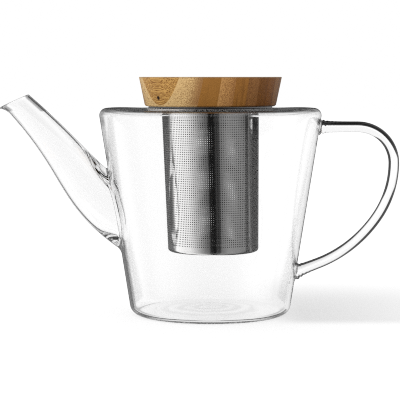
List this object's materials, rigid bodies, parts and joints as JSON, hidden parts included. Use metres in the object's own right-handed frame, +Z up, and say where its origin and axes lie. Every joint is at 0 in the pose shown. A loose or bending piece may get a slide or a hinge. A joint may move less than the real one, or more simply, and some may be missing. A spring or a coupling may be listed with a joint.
{
  "type": "glass teapot",
  "caption": "Conical clear glass teapot with a slanted spout and looped glass rod handle, a lift-out perforated steel infuser and a flared laminated bamboo lid.",
  "frame": {"origin": "on the pot's axis, at the plane of the ring it stands on", "axes": "+Z up along the pot's axis, -X towards the spout, +X towards the handle"},
  "size_m": [0.2463, 0.1368, 0.1468],
  "materials": {
    "clear_glass": "clear, fire polished",
    "polished_steel": "polished sheet",
    "perforated_steel": "polished sheet with fine perforations",
    "bamboo_honey": "oiled bamboo",
    "bamboo_pale": "oiled bamboo",
    "bamboo_amber": "oiled bamboo",
    "bamboo_brown": "oiled bamboo",
    "silicone": "translucent silicone"
  },
  "bodies": {
    "pot": {"glass_body": "clear_glass", "spout": "clear_glass", "handle": "clear_glass"},
    "infuser": {"infuser_rim": "polished_steel", "infuser_wall": "perforated_steel", "infuser_base": "perforated_steel"},
    "lid": {"lid_strip_01": "bamboo_brown", "lid_strip_02": "bamboo_amber", "lid_strip_03": "bamboo_brown", "lid_strip_04": "bamboo_amber", "lid_strip_05": "bamboo_brown", "lid_strip_06": "bamboo_honey", "lid_strip_07": "bamboo_amber", "lid_strip_08": "bamboo_honey", "lid_strip_09": "bamboo_pale", "lid_strip_10": "bamboo_amber", "lid_strip_11": "bamboo_pale", "lid_strip_12": "bamboo_honey", "lid_seal": "silicone"}
  },
  "joints": [
    {"name": "infuser_lift", "type": "slide", "parent": "pot", "child": "infuser", "axis": [0, 0, 1], "range_m": [0, 0.11]},
    {"name": "lid_lift", "type": "slide", "parent": "infuser", "child": "lid", "axis": [0, 0, 1], "range_m": [0, 0.05]}
  ]
}
